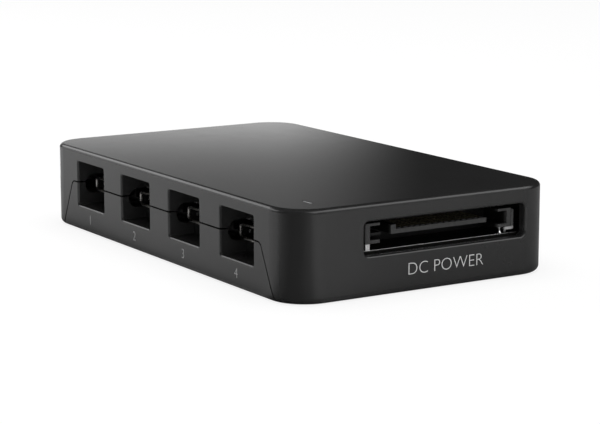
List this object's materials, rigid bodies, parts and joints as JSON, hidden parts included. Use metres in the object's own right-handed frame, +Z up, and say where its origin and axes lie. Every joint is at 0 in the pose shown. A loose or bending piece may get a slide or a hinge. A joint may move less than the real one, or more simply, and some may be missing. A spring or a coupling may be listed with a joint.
{
  "type": "fan controller hub",
  "caption": "Flat black rounded-corner box with a row of recessed fan sockets along the front, a keyed power plug in one end and a status light slit in the top; it powers and steers fans.",
  "frame": {"origin": "middle of the underside of the case, on the surface it stands on", "axes": "+X along the row of fan sockets towards the power plug, +Y from the fan sockets to the plain back, +Z up"},
  "size_m": [0.096, 0.0568, 0.0166],
  "materials": {
    "case_plastic": "satin, fine spark-eroded grain",
    "connector_plastic": "smooth moulded black",
    "board": "black solder mask over glass-epoxy laminate",
    "gold_contacts": "gold flash",
    "tinned_metal": "bright tin plate",
    "screw_steel": "black zinc",
    "port_steel": "bright folded sheet",
    "clear_plastic": "clear polished",
    "lamp": "cast resin",
    "chip_epoxy": "moulded epoxy",
    "can_aluminium": "drawn can",
    "crystal_metal": "plain can",
    "inductor_ferrite": "pressed iron powder",
    "fuse_body": "coated polymer",
    "resistor_body": "glazed ceramic",
    "capacitor_ceramic": "fired ceramic"
  },
  "bodies": {
    "root": {"top_cover": "case_plastic", "base_cover": "case_plastic", "case_screw_1": "screw_steel", "case_screw_2": "screw_steel", "case_screw_3": "screw_steel", "case_screw_4": "screw_steel", "circuit_board": "board", "power_plug": "connector_plastic", "power_contacts": "gold_contacts", "power_plug_clip_1": "tinned_metal", "power_plug_clip_2": "tinned_metal", "data_port_shell": "port_steel", "data_port_tongue": "connector_plastic", "data_port_contacts": "gold_contacts", "light_pipe": "clear_plastic", "status_lamp": "lamp", "fan_socket_1": "connector_plastic", "fan_pins_1": "tinned_metal", "channel_capacitor_base_1": "connector_plastic", "channel_capacitor_can_1": "can_aluminium", "channel_driver_1": "chip_epoxy", "channel_driver_leads_1": "tinned_metal", "fan_socket_2": "connector_plastic", "fan_pins_2": "tinned_metal", "channel_capacitor_base_2": "connector_plastic", "channel_capacitor_can_2": "can_aluminium", "channel_driver_2": "chip_epoxy", "channel_driver_leads_2": "tinned_metal", "fan_socket_3": "connector_plastic", "fan_pins_3": "tinned_metal", "channel_capacitor_base_3": "connector_plastic", "channel_capacitor_can_3": "can_aluminium", "channel_driver_3": "chip_epoxy", "channel_driver_leads_3": "tinned_metal", "fan_socket_4": "connector_plastic", "fan_pins_4": "tinned_metal", "channel_capacitor_base_4": "connector_plastic", "channel_capacitor_can_4": "can_aluminium", "channel_driver_4": "chip_epoxy", "channel_driver_leads_4": "tinned_metal", "crystal_can": "crystal_metal", "controller_chip": "chip_epoxy", "controller_chip_leads": "tinned_metal", "regulator_chip": "chip_epoxy", "regulator_leads": "tinned_metal", "inductor_body": "inductor_ferrite", "inductor_pads": "tinned_metal", "bulk_capacitor_base": "connector_plastic", "bulk_capacitor_can": "can_aluminium", "input_fuse": "fuse_body", "chip_resistors": "resistor_body", "ceramic_capacitors": "capacitor_ceramic"}
  },
  "joints": []
}
